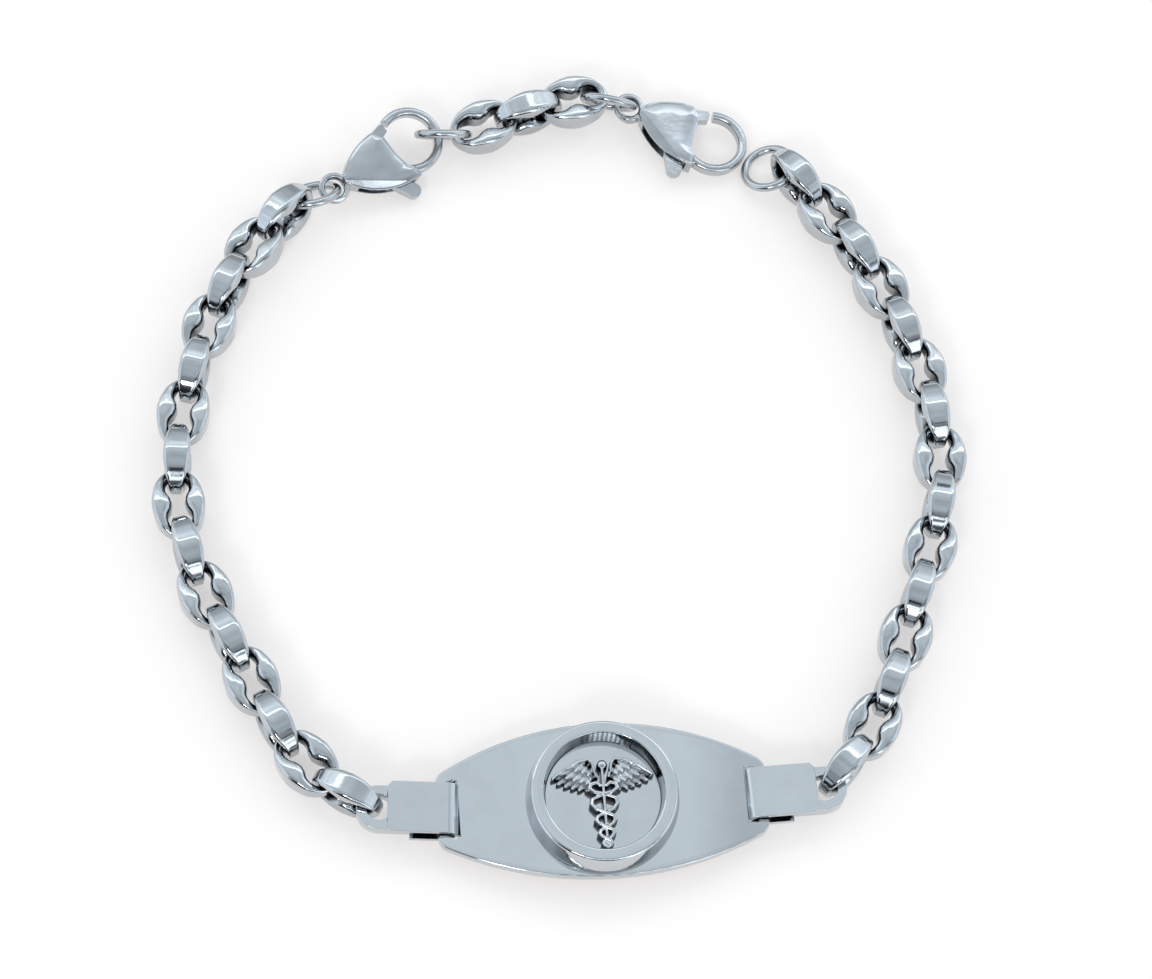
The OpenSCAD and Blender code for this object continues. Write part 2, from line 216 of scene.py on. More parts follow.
# %% [markdown]
# One link is a puffed oval ring: an outer wall, a bevel, a crown that thins towards both ends, and
# a hole with a narrow waist and two pockets where the neighbours' bars sit. Subdividing a rough
# ring would lose the facets, so the surface is a grid wrapped round the ring: each station has the
# same cross-section, stretched between the outline and the hole. Small tables tell how the crown
# and the waist change. Cutting the section's corners twice rounds them as tumbling rounds the real
# ones.

# %% The link's outline and section
LINK_L, LINK_W, LINK_T, LINK_BAR = 6.55, 4.7, 2.45, 0.9
FACET = 0.28
FACET_CORNERS = [  # share of half length, share of half width
    (1.0, 0.0), (1.0, 0.16), (0.92, 0.43), (0.62, 0.81), (0.0, 1.0)]
CROWN = [(0, 1), (0.3, 0.94), (0.7, 0.74), (1, 0.45)]  # share of half length, share of height
INNER_EDGE = [(0, 0.62), (0.4, 0.7), (0.62, 0.6), (1, 0.24)]  # share of half length, height
RIM_SHARE, SLOPE_SHARE, SLOPE_MOST = 0.76, 0.3, 0.36
PUFF, CROWN_FALL, LIP_BACK, LIP_RISE = 0.05, 0.06, 0.06, 0.1
CORNER_CUTS = 2

def eased(x, table):
    spots, values = zip(*table)
    return float(np.interp(abs(x), spots, values))

def cut_corners(points):
    for _ in range(CORNER_CUTS):
        after = np.roll(points, -1, axis=0)
        points = np.stack([0.75 * points + 0.25 * after, 0.25 * points + 0.75 * after], 1)
        points = points.reshape(-1, 2)
    return points

def link_outline(t):
    c, s = math.cos(t), math.sin(t)
    reaches = []
    for a, b in zip(FACET_CORNERS, FACET_CORNERS[1:]):
        cross = a[0] * b[1] - b[0] * a[1]
        steep, level = (b[1] - a[1]) / cross, (a[0] - b[0]) / cross
        reaches.append(1 / max(1e-9, steep * abs(c) + level * abs(s)))
    reach = FACET * min(reaches) + 1 - FACET
    return Vector((LINK_L / 2 * reach * c, LINK_W / 2 * reach * s))

def link_section(width, along):
    top = LINK_T / 2 * eased(along, CROWN)
    rim = RIM_SHARE * top
    inner = eased(along, INNER_EDGE)
    slope = min(SLOPE_MOST, SLOPE_SHARE * width)
    half = [(0, rim * 0.5), (0, rim), (0.5 * slope, 0.5 * (rim + top) + PUFF), (slope, top),
        (width - slope, top - CROWN_FALL), (width - LIP_BACK, inner + LIP_RISE),
        (width, inner * 0.5)]
    return np.array(half + [(d, -z) for d, z in reversed(half)])

print("a link is", LINK_L, "by", LINK_W, "by", LINK_T, "mm")

# %% One link
STATIONS = 64
HOLE_END, HOLE_ROUND, WAIST_ROUND = LINK_L / 2 - LINK_BAR, 0.62, 0.5
WAIST = [(0, 0.53), (0.4, 0.56), (1.1, 1.0), (1.5, 1.1), (3, 1.1)]  # mm from middle, half width
# Painted shade on the hole's inner wall: full at the pockets where the neighbours' bars sit, a
# quarter at the waist.
POCKET_START, POCKET_RUN, POCKET_LEAST = 0.5, 0.7, 0.25
DARK_WALL, DARK_FADE = 0.3, 0.2

def power(value, exponent):
    return math.copysign(abs(value) ** exponent, value)

def link_mesh():
    points, faces, recess = [], [], []
    for k in range(STATIONS):
        t = 2 * math.pi * k / STATIONS
        outer = link_outline(t)
        hole_x = HOLE_END * power(math.cos(t), HOLE_ROUND)
        hole = Vector((hole_x, eased(hole_x, WAIST) * power(math.sin(t), WAIST_ROUND)))
        width = (hole - outer).length
        section = cut_corners(link_section(width, outer.x / (LINK_L / 2)))
        way = (hole - outer).normalized()
        pocket_shade = min(1, max(POCKET_LEAST, (abs(hole_x) - POCKET_START) / POCKET_RUN))
        recess += [pocket_shade * min(1, max(0, (d - width + DARK_WALL) / DARK_FADE)) for d, _ in section]
        points += [(outer.x + way.x * d, outer.y + way.y * d, z) for d, z in section]
    n = len(section)
    for k in range(STATIONS):
        faces += strip(k * n, (k + 1) % STATIONS * n, n)
    made = mesh_piece("one_link", points, faces, link_steel)
    paint_shade(made, recess)
    face_outwards(made)
    shade(made, 60)
    return made

one_link = link_mesh()
print("one link:", len(one_link.data.polygons), "faces")

# %% [markdown]
# What repeats or is swept is made by Geometry Nodes. Every tree here starts with its named inputs
# and ends in the same two nodes: one makes the instances real, because the export drops instances,
# and one gives them their finish. A modifier's input is set by the socket's identifier, and the
# result is kept as a plain mesh.

# %% Starting, ending and using a tree
def start_tree(name, inputs):
    tree = bpy.data.node_groups.new(name, "GeometryNodeTree")
    tree.interface.new_socket("Geometry", in_out="INPUT", socket_type="NodeSocketGeometry")
    for label, kind in inputs:
        tree.interface.new_socket(label, in_out="INPUT", socket_type="NodeSocket" + kind)
    tree.interface.new_socket("Finish", in_out="INPUT", socket_type="NodeSocketMaterial")
    tree.interface.new_socket("Geometry", in_out="OUTPUT", socket_type="NodeSocketGeometry")
    return tree, tree.nodes.new("NodeGroupInput")

def end_tree(tree, start, geometry):
    real = tree.nodes.new("GeometryNodeRealizeInstances")
    paint = tree.nodes.new("GeometryNodeSetMaterial")
    end = tree.nodes.new("NodeGroupOutput")
    tree.links.new(geometry, real.inputs["Geometry"])
    tree.links.new(real.outputs["Geometry"], paint.inputs["Geometry"])
    tree.links.new(start.outputs["Finish"], paint.inputs["Material"])
    tree.links.new(paint.outputs["Geometry"], end.inputs["Geometry"])
    print("tree", tree.name, "with", len(tree.nodes), "nodes")
    return tree

def grown(host, tree, name, values):
    modifier = host.modifiers.new("tree", "NODES")
    modifier.node_group = tree
    for item in tree.interface.items_tree:
        if item.in_out == "INPUT" and item.name in values:
            modifier[item.identifier] = values[item.name]
    return baked(host, name, values["Finish"])

print("each tree ends in Realize Instances and Set Material")

# %% [markdown]
# The chain repeats that link along a path. A small mesh holds one point for each link, with its
# turn in an attribute, and the tree puts the link on every point. Doing it with copied objects
# would work too, but then a change to the link means copying again.

# %% A tree that puts one shape on every point
def repeat_tree():
    tree, start = start_tree("shape_on_points", [("Shape", "Object")])
    info = tree.nodes.new("GeometryNodeObjectInfo")
    turn = tree.nodes.new("GeometryNodeInputNamedAttribute")
    turn.data_type = "FLOAT_VECTOR"
    turn.inputs["Name"].default_value = "turn"
    rotation = tree.nodes.new("FunctionNodeEulerToRotation")
    put = tree.nodes.new("GeometryNodeInstanceOnPoints")
    tree.links.new(start.outputs["Geometry"], put.inputs["Points"])
    tree.links.new(start.outputs["Shape"], info.inputs["Object"])
    tree.links.new(info.outputs["Geometry"], put.inputs["Instance"])
    tree.links.new(turn.outputs["Attribute"], rotation.inputs["Euler"])
    tree.links.new(rotation.outputs["Rotation"], put.inputs["Rotation"])
    return end_tree(tree, start, put.outputs["Instances"])

shape_on_points = repeat_tree()

# %% [markdown]
# Each chain starts at its band and turns a little at every link, as the chain lies in the
# photograph. Links stand on edge and lie flat by turns. The last four of the left chain roll over
# step by step, because the ring at its end pulls them round.

# %% The three chains
CENTRE = np.array([1.09, -0.81])
LINK_STEP = 4.48
CHAIN_Z = LINK_W / 2
ROLL_STEP, ROLL_LIFT = 3.5, 0.011

def chain(name, start, ways, first_on_edge, rolled=0):
    at = np.array(start, float)
    places, turns = [], []
    for k, way in enumerate(ways, 1):
        step = LINK_STEP / 2 * np.array([math.cos(math.radians(way)), math.sin(math.radians(way))])
        middle = at + step
        at = middle + step
        roll = ROLL_STEP * max(0, k + rolled - len(ways)) if rolled else 0
        on_edge = (k % 2 == 1) == first_on_edge
        places.append((*(middle + CENTRE), CHAIN_Z + roll * ROLL_LIFT))
        turns.append(((90 if on_edge else 0) - roll, 0, way))
    host = mesh_piece(name + "_points", places, [], link_steel)
    turn = host.data.attributes.new("turn", "FLOAT_VECTOR", "POINT")
    turn.data.foreach_set("vector", [math.radians(a) for t in turns for a in t])
    return grown(host, shape_on_points, name, {"Shape": one_link, "Finish": link_steel})

left_chain = chain("left_chain", (-19.87, -30.52),
    [149, 130, 117, 114, 115, 112, 104, 94, 85, 78, 73, 68, 61, 53, 45], True, 4)
right_chain = chain("right_chain", (19.78, -30.66),
    [45, 58, 66, 69, 69, 69, 77, 87, 96, 102, 107, 112, 118, 123, 124], True)
extender_chain = chain("extender_chain", (-7.92, 34.39), [21, 15, 10], False)
finished(left_chain, [f"left_link_{k:02d}" for k in range(1, 16)])
finished(right_chain, [f"right_link_{k:02d}" for k in range(1, 16)])
finished(extender_chain, [f"extender_link_{k}" for k in (1, 2, 3)])
bpy.data.objects.remove(one_link)

# %% [markdown]
# Jump rings are bent from round wire. A torus would do, but a circle swept along a circle is how
# the wire is bent, and in Geometry Nodes it is two curve nodes and one Curve to Mesh.

# %% Jump rings
RING_R, WIRE_R = 2.325, 0.4
RING_STEPS, WIRE_STEPS = 96, 24

def ring_tree():
    tree, start = start_tree("wire_ring", [("Ring radius", "Float"), ("Wire radius", "Float")])
    path = tree.nodes.new("GeometryNodeCurvePrimitiveCircle")
    wire = tree.nodes.new("GeometryNodeCurvePrimitiveCircle")
    path.inputs["Resolution"].default_value = RING_STEPS
    wire.inputs["Resolution"].default_value = WIRE_STEPS
    sweep = tree.nodes.new("GeometryNodeCurveToMesh")
    tree.links.new(start.outputs["Ring radius"], path.inputs["Radius"])
    tree.links.new(start.outputs["Wire radius"], wire.inputs["Radius"])
    tree.links.new(path.outputs["Curve"], sweep.inputs["Curve"])
    tree.links.new(wire.outputs["Curve"], sweep.inputs["Profile Curve"])
    return end_tree(tree, start, sweep.outputs["Mesh"])

wire_ring = ring_tree()

def jump_ring(name, turn, lean):
    host = mesh_piece(name + "_host", [(0, 0, 0)], [], wire_steel)
    values = {"Ring radius": RING_R * MM, "Wire radius": WIRE_R * MM, "Finish": wire_steel}
    made = grown(host, wire_ring, name + "_wire", values)
    spot = sum(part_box(name), Vector()) / 2
    turned = Euler((math.radians(lean), 0, math.radians(turn))).to_matrix().to_4x4()
    made.data.transform(Matrix.Translation(spot) @ turned)
    face_outwards(made)
    shade(made, 60)
    finished(made, [name])

jump_ring("left_ring", 16.2, -42.9)
jump_ring("extender_ring_1", -2.3, -62.5)
jump_ring("extender_ring_2", -13.8, -67.2)
jump_ring("right_ring", 54.2, -24.2)

# %% [markdown]
# The ID plate is blanked from sheet, pressed to a gentle arch and polished. A bent and bevelled box
# would come close, but its sections across the length are all the same rounded bar, as wide as the
# two long arcs allow, so the plate is a stack of sections again, as the link was.

# %% The plate's outline and sections
PLATE_L, PLATE_W, PLATE_T, EDGE_R, ARCH_R = 28.6, 13.8, 1.0, 28.7, 118.0
PLATE_Y, PLATE_Z = -31.33, CHAIN_Z + 0.5
ARCH_TOP = PLATE_Z + PLATE_T / 2
PLATE_EDGE, PLATE_CORNER = 0.16, 0.7

def arch_drop(x):
    return ARCH_R - math.sqrt(ARCH_R ** 2 - x * x)

def plate_half_width(x):
    wide = math.sqrt(EDGE_R ** 2 - x * x) - EDGE_R + PLATE_W / 2
    short = max(0.0, abs(x) - (PLATE_L / 2 - PLATE_CORNER))
    return wide - PLATE_CORNER + math.sqrt(max(0.0, PLATE_CORNER ** 2 - short ** 2))

def plate_section(half_w, shrink):
    flat_y, flat_z = half_w - shrink - PLATE_EDGE, PLATE_T / 2 - shrink - PLATE_EDGE
    half = [(y, PLATE_T / 2 - shrink) for y in np.linspace(0, flat_y, 16)]
    half += [(flat_y + PLATE_EDGE * math.cos(math.radians(a)),
        flat_z + PLATE_EDGE * math.sin(math.radians(a))) for a in np.linspace(80, 10, 4)]
    half += [(y, -z) for y, z in reversed(half)]
    return half + [(-y, z) for y, z in reversed(half)][1:-1]

print("plate:", PLATE_L, "by", PLATE_W, "mm, its ends", round(arch_drop(PLATE_L / 2), 2), "lower")

# %% [markdown]
# The stack is closed at both ends, and the two slots are cut through it with a Boolean, as a punch
# does. The slots are a little shorter here than in the solid, so that the bands look as tight in
# them as in the photograph.

# %% ID plate
SLOT_NEAR, SLOT_L, SLOT_W, PUNCH_H = PLATE_L / 2 - 1.9, 0.85, 5.0, 6

def plate_sheet():
    half_l = PLATE_L / 2
    spots = [(-half_l + PLATE_EDGE * (1 - math.sin(a)), PLATE_EDGE * (1 - math.cos(a)))
        for a in np.linspace(math.pi / 2, 0, 4)]
    spots += [(-half_l + PLATE_CORNER * (1 - math.cos(a)), 0) for a in np.linspace(0.75, 1.5, 6)]
    spots += [(x, 0) for x in np.linspace(-half_l + PLATE_CORNER + 0.1, 0, 36)]
    spots += [(-x, s) for x, s in reversed(spots[:-1])]
    points, faces = [], []
    for x, shrink in spots:
        section = plate_section(plate_half_width(x), shrink)
        z = ARCH_TOP - PLATE_T / 2 - arch_drop(x)
        points += [(x + CENTRE[0], y + PLATE_Y + CENTRE[1], z + up) for y, up in section]
    n = len(section)
    for k in range(len(spots) - 1):
        faces += strip(k * n, (k + 1) * n, n)
    faces += [tuple(range(n)), tuple(range(len(points) - n, len(points)))]
    made = mesh_piece("plate_sheet", points, faces, mirror_steel)
    face_outwards(made)
    return made

def punched(sheet, side):
    low = np.array([side * (SLOT_NEAR + SLOT_L / 2) - SLOT_L / 2, PLATE_Y - SLOT_W / 2, 0])
    low += (*CENTRE, 0)
    high = low + (SLOT_L, SLOT_W, PUNCH_H)
    box = [(x, y, z) for x in (low[0], high[0]) for y in (low[1], high[1])
        for z in (low[2], high[2])]
    punch = mesh_piece("punch", box, [(0, 1, 3, 2), (4, 6, 7, 5), (0, 4, 5, 1), (2, 3, 7, 6),
        (0, 2, 6, 4), (1, 5, 7, 3)], mirror_steel)
    face_outwards(punch)
    cut = sheet.modifiers.new("slot", "BOOLEAN")
    cut.object, cut.solver, cut.operation = punch, "EXACT", "DIFFERENCE"
    made = baked(sheet, "plate_sheet", mirror_steel)
    bpy.data.objects.remove(punch)
    return made

plate = plate_sheet()
for side in (-1, 1):
    plate = punched(plate, side)
plate = even_normals(plate)
finished(plate, ["id_plate"])

# %% [markdown]
# The cup is turned on a lathe and soldered on, so one profile spun round its axis makes it. Its
# foot follows the plate's arch. The rim's corners are rounded by a few points each, because a
# thin bright line on every edge is what tells the eye that metal is polished. Shade is painted
# on its inner wall, and more of it in the corner where the wall meets the floor.

# %% Emblem cup
CUP_X, CUP_SPIN = -0.1, 144
CUP_R, RIM_R, BORE_R, CUP_H, CUP_FLOOR = 6.6, 6.15, 5.2, 2.4, 0.6
FLOOR_R = BORE_R - 0.2
CUP_CORNERS = [  # radius, height above the plate, how round the corner is
    (CUP_R, 0, 0), (CUP_R, 0.35, 0.1), (RIM_R + 0.16, CUP_H - 0.17, 0.1), (RIM_R, CUP_H, 0.1),
    (BORE_R, CUP_H, 0.14), (FLOOR_R, CUP_FLOOR, 0.08), (0.02, CUP_FLOOR, 0)]
# painted shade on the inner wall and in the corner at the floor's edge
CUP_WALL_SHADE, CUP_CORNER_SHADE = 0.5, 0.85

def rounded(corners):
    line = []
    for k, (x, z, r) in enumerate(corners):
        if not r or k in (0, len(corners) - 1):
            line.append((x, z))
            continue
        here = Vector((x, z))
        back = (Vector(corners[k - 1][:2]) - here).normalized() * r
        ahead = (Vector(corners[k + 1][:2]) - here).normalized() * r
        for t in np.linspace(0, 1, 6):
            line.append(tuple(here + back * (1 - t) ** 2 + ahead * t ** 2))
    return line

def cup_shade(r, z):
    if r < BORE_R - 0.01 and CUP_FLOOR + 0.02 < z < CUP_H - 0.3:
        return CUP_WALL_SHADE
    return CUP_CORNER_SHADE if abs(r - FLOOR_R) < 0.06 else 0

def emblem_cup():
    profile = rounded(CUP_CORNERS)
    n = len(profile)
    points, faces = [], []
    for k in range(CUP_SPIN):
        c, s = math.cos(2 * math.pi * k / CUP_SPIN), math.sin(2 * math.pi * k / CUP_SPIN)
        faces += strip(k * n, (k + 1) % CUP_SPIN * n, n, closed=False)
        for i, (r, z) in enumerate(profile):
            up = ARCH_TOP + (z if i else -arch_drop(CUP_X + r * c))
            points.append((CUP_X + r * c + CENTRE[0], PLATE_Y + r * s + CENTRE[1], up))
    faces.append(tuple(k * n + n - 1 for k in range(CUP_SPIN)))
    faces.append(tuple(k * n for k in range(CUP_SPIN)))
    made = mesh_piece("turned_cup", points, faces, mirror_steel)
    paint_shade(made, [cup_shade(r, z) for r, z in profile] * CUP_SPIN)
    face_outwards(made)
    return even_normals(made)

cup = emblem_cup()
finished(cup, ["emblem_cup"])

# %% [markdown]
# The caduceus is a small casting: two wings of feathers, a staff with a ball and two snakes that
# cross over it. A casting that leaves its mould straight up can be told as one height for every
# spot, so it is drawn as a height map in numpy: each feather, tube and ball raises the ground, and
# the highest one wins. Sculpting would work too, but no size could be changed afterwards.

# %% Heights of a tube and a feather
NOTHING = -1.0
VANE_FALL, GROOVE_DEPTH, GROOVE_W, TIP_RISE = 0.32, 0.12, 0.16, 0.36
ROOT_END, TIP_END, FULLNESS = -0.1, 1.02, 1.7  # shares of a feather's length, how soon it is wide

def tube(x, y, path, radius, top):
    height = np.full(x.shape, NOTHING)
    for (ax, ay, az), (bx, by, bz) in zip(path, path[1:]):
        length = (bx - ax) ** 2 + (by - ay) ** 2
        t = np.clip(((x - ax) * (bx - ax) + (y - ay) * (by - ay)) / length, 0, 1)
        away = np.hypot(x - ax - t * (bx - ax), y - ay - t * (by - ay))
        dome = np.sqrt(np.maximum(radius * radius - away * away, 0)) - radius
        raised = np.where(away < radius, top + az + t * (bz - az) + dome, NOTHING)
        height = np.maximum(height, raised)
    return height

def feather(x, y, root, tip, half, top):
    way = np.subtract(tip, root)
    length = math.hypot(*way)
    way = way / length
    along = ((x - root[0]) * way[0] + (y - root[1]) * way[1]) / length
    side = (-(x - root[0]) * way[1] + (y - root[1]) * way[0]) / half
    wide = np.sqrt(np.clip(along - ROOT_END, 0, 1)) * np.sqrt(np.clip(TIP_END - along, 0, 1))
    edge = np.abs(side) / np.maximum(np.clip(wide * FULLNESS, 0, 1), 0.01)
    fall = VANE_FALL * edge ** 2 + GROOVE_DEPTH * np.exp(-(side / GROOVE_W) ** 2)
    fall += TIP_RISE * np.clip(1 - along, 0, 1)
    return np.where((edge < 1) & (along > ROOT_END) & (along < TIP_END), top - fall, NOTHING)

print("a feather falls", VANE_FALL, "mm from its middle to its edge")

# %% [markdown]
# A wing is three rows of feathers. The longest row lies deepest, and each row above it covers the
# roots of the one below. A thick leading edge, drawn as a tube, joins them at the top.

# %% Wings
EMBLEM_H, LEADING_R = 1.2, 0.15
BALL_ROOM_HALF, BALL_ROOM_FROM = 0.58, 1.9  # what the wings leave free round the ball
FEATHER_ROWS = [  # roots and tips in mm from the cup's middle, half width, height of the top
    ([(2.7, 2.35), (2.3, 2.05), (1.9, 1.8), (1.5, 1.6), (1.1, 1.4), (0.75, 1.2)],
     [(4.4, 1.5), (3.95, 1.08), (3.35, 0.8), (2.75, 0.6), (2.15, 0.42), (1.5, 0.3)], 0.34, 0.72),
    ([(2.2, 2.65), (1.8, 2.42), (1.4, 2.2), (1.05, 1.95), (0.75, 1.7)],
     [(3.75, 1.88), (3.2, 1.5), (2.6, 1.25), (2.0, 1.08), (1.45, 0.95)], 0.32, 0.97),
    ([(1.8, 2.92), (1.45, 2.82), (1.12, 2.66), (0.8, 2.35)],
     [(3.0, 2.35), (2.4, 2.02), (1.8, 1.8), (1.3, 1.6)], 0.3, EMBLEM_H)]
LEADING_EDGE = [(0.5, 1.5, -0.15), (0.68, 2.1, -0.05), (0.85, 2.75, 0), (1.15, 3.05, 0),
    (1.9, 2.95, 0), (3.0, 2.48, -0.12), (4.25, 1.62, -0.3)]

def wings(x, y):
    height = np.full(x.shape, NOTHING)
    for flip in (-1, 1):
        wing = tube(flip * x, y, LEADING_EDGE, LEADING_R, EMBLEM_H)
        for roots, tips, half, top in FEATHER_ROWS:
            for root, tip in zip(roots, tips):
                wing = np.maximum(wing, feather(flip * x, y, root, tip, half, top))
        room_for_ball = (np.abs(x) < BALL_ROOM_HALF) & (y > BALL_ROOM_FROM)
        height = np.maximum(height, np.where(room_for_ball, NOTHING, wing))
    return height

print("feathers in a wing:", sum(len(row[0]) for row in FEATHER_ROWS))

# %% [markdown]
# The two snakes mirror each other and cross on the staff. Where one passes over, its height rises
# a little and the other's sinks, which a cosine along the coils does by itself.

# %% Snakes, staff and ball
COILS = [(-0.05, 0), (-0.45, 1.0), (-0.9, 1.1), (-1.35, 0.75), (-1.68, 0), (-2.0, -0.65),
    (-2.35, -0.82), (-2.7, -0.55), (-2.98, 0), (-3.25, 0.5), (-3.55, 0.62), (-3.85, 0.4),
    (-4.05, 0), (-4.25, -0.3), (-4.45, -0.36), (-4.65, -0.24), (-4.8, 0)]
NECK = [(-0.05, 0), (0.12, -0.75), (0.45, -1.2), (0.85, -1.05), (0.95, -0.6), (0.7, -0.3)]
STAFF = [(0, 2.4, 0.12), (0, 0, 0.05), (0, -4.8, -0.12)]
SNAKE_R, SNAKE_TOP, CROSSING_RISE, NECK_RISE = 0.2, 1.0, 0.07, 0.05
STAFF_R, STAFF_TOP = 0.17, 1
BALL_X, BALL_Y, BALL_Z, BALL_R, BALL_R_SQUARED = 0.03, 2.57, 0.72, 0.48, 0.23

def snakes_and_staff(x, y):
    height = tube(x, y, STAFF, STAFF_R, STAFF_TOP)
    for flip in (-1, 1):
        coils = [(flip * a, b, CROSSING_RISE * flip * math.cos(math.pi * k / 4))
            for k, (b, a) in enumerate(COILS)]
        neck = [(flip * a, b, NECK_RISE) for b, a in NECK]
        height = np.maximum(height, tube(x, y, coils, SNAKE_R, SNAKE_TOP))
        height = np.maximum(height, tube(x, y, neck, SNAKE_R, SNAKE_TOP + NECK_RISE))
    away = np.hypot(x - BALL_X, y - BALL_Y)
    ball = BALL_Z + np.sqrt(np.maximum(BALL_R_SQUARED - away ** 2, 0))
    return np.maximum(height, np.where(away < BALL_R, ball, NOTHING))

print("each snake has", len(COILS) + len(NECK), "points")

# %% [markdown]
# The cells of the grid that stand above the cup's floor become the mesh: their tops, the same
# cells below as a bottom, and a wall at every edge that only one cell uses. One pass of smoothing
# softens the steps. Shade is painted on the walls and the low places between the feathers: the
# lower a point lies, the darker its colour.

# %% Caduceus
CELL = 0.04
# painted shade, by height above the cup's floor, and full on the walls
DARK_MOST, DARK_RUN = 1.3, 0.5  # quite dark up to 0.15 mm above the floor, bright from 0.65 mm

def casting_faces(cells, number):
    a, b = number[:-1, :-1][cells], number[1:, :-1][cells]
    c, d = number[1:, 1:][cells], number[:-1, 1:][cells]
    top = np.stack([a, b, c, d], 1)
    faces = [tuple(f) for f in top.tolist()]
    faces += [tuple(f[::-1]) for f in (top + number.size).tolist()]
    sides = [(p, q) for f in top.tolist() for p, q in zip(f, f[1:] + f[:1])]
    shared = set(sides)
    faces += [(q, p, p + number.size, q + number.size) for p, q in sides if (q, p) not in shared]
    return faces

def caduceus():
    x, y = np.meshgrid(np.arange(-4.75, 4.76, CELL), np.arange(-5.0, 3.5, CELL), indexing="ij")
    height = np.maximum(wings(x, y), snakes_and_staff(x, y))
    solid = height > 0
    cells = solid[:-1, :-1] & solid[1:, :-1] & solid[:-1, 1:] & solid[1:, 1:]
    top = np.stack([x.ravel(), y.ravel(), np.maximum(height, 0).ravel()], 1)
    points = np.concatenate([top, top * (1, 1, 0)]) + (CUP_X + CENTRE[0], PLATE_Y + CENTRE[1],
        ARCH_TOP + CUP_FLOOR)
    faces = casting_faces(cells, np.arange(x.size).reshape(x.shape))
    made = mesh_piece("cast_caduceus", points, faces, cast_steel)
    work = bmesh.new()
    work.from_mesh(made.data)
    bmesh.ops.delete(work, geom=[v for v in work.verts if not v.link_faces], context="VERTS")
    floor = (ARCH_TOP + CUP_FLOOR + 0.01) * MM
    bmesh.ops.smooth_vert(work, verts=[v for v in work.verts if v.co.z > floor], factor=0.5,
        use_axis_x=True, use_axis_y=True, use_axis_z=True)
    bmesh.ops.recalc_face_normals(work, faces=work.faces)
    work.to_mesh(made.data)
    work.free()
    above = np.array([v.co.z for v in made.data.vertices]) / MM - ARCH_TOP - CUP_FLOOR
    recess = np.clip(DARK_MOST - above / DARK_RUN, 0, 1)
    for edge in made.data.edges:
        one, two = edge.vertices
        if min(above[one], above[two]) < 0.01 < max(above[one], above[two]):
            recess[[one, two]] = 1
    paint_shade(made, recess)
    shade(made, 70)
    return made

emblem = caduceus()
finished(emblem, ["caduceus"])

# %% [markdown]
# The bands already have their true shape in CAD, with sharp edges. Real ones have been tumbled, so
# a copy of each solid is merged, its flat faces are joined again and a small bevel rounds every
# edge. Modelling them anew would only repeat the CAD model.

# %% Bands
SOLID_MERGE, FLAT_WITHIN = 0.000002, 1.0
BAND_BEVEL = 0.14

def solid_copy(node):
    made = bpy.data.objects.new(node + "_tumbled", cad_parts[node].data.copy())
    bpy.context.scene.collection.objects.link(made)
    work = bmesh.new()
    work.from_mesh(made.data)
    bmesh.ops.remove_doubles(work, verts=work.verts, dist=SOLID_MERGE)
    bmesh.ops.dissolve_limit(work, angle_limit=math.radians(FLAT_WITHIN), verts=work.verts,
        edges=work.edges)
    work.to_mesh(made.data)
    work.free()
    return made

def bevelled(node, width, material, body="bracelet"):
    made = even_normals(solid_copy(node), width)
    made.data.materials.clear()
    made.data.materials.append(material)
    finished(made, [node], body)

for band in ("left_band", "right_band"):
    bevelled(band, BAND_BEVEL, mirror_steel)

# %% [markdown]
# A lobster clasp is a casting that swells towards its middle, with a hook and an eye of round bar
# and a slot for the lever. A bevel can't dome it, so the solid's points are squeezed by rule in
# the clasp's own frame: the body by how deep a point lies inside its outline, and the bars by how
# far it lies from their middle line. The slot's end moves back a hair to clear the lever. Shade is
# painted inside the slot and on the inside of the eye.

# %% The clasp's rounded shape
HOOK_X, HOOK_Y, HOOK_R, HOOK_HALF = 8.55, 0.2, 2.765, 0.45
EYE_R, EYE_HALF = 1.19, 0.31
SIDE_ARCS = [(5.84, -3.77, 6.32), (6.7, 3.59, 6.86)]  # middle x and y, radius
MOUTH_Y, MOUTH_X = [-4, -2.3, -1.7, -0.4, 1.6, 3], [7.6, 7.5, 6.9, 6.6, 6.45, 5.2]
LEAF_FOOT, SWELL_LEAST, SWELL_RUN = 0.6, 0.35, 1.5
BAR_MOST, BAR_ROUND, BAR_REACH, BLEND_RUN = 0.97, 0.3, 1.1, 0.35
HOOK_FROM_X, HOOK_BELOW_Y, EYE_TO_X = 7.1, -1.8, 2  # where there is bar, not body
SLOT_HALF, SLOT_FROM_DEPTH, SLOT_END_X, SLOT_END_Y, SLOT_BACK = 0.52, 0.1, 3.2, 0.8, 0.05
SLOT_SHADE, EYE_SHADE, EYE_HOLE_R = 0.9, 0.6, 1

def clasp_frame(at, turn, dip, roll):
    turned = Euler((math.radians(roll), math.radians(dip), math.radians(turn))).to_matrix().to_4x4()
    return Matrix.Translation(Vector((at[0] + CENTRE[0], at[1] + CENTRE[1], at[2]))) @ turned

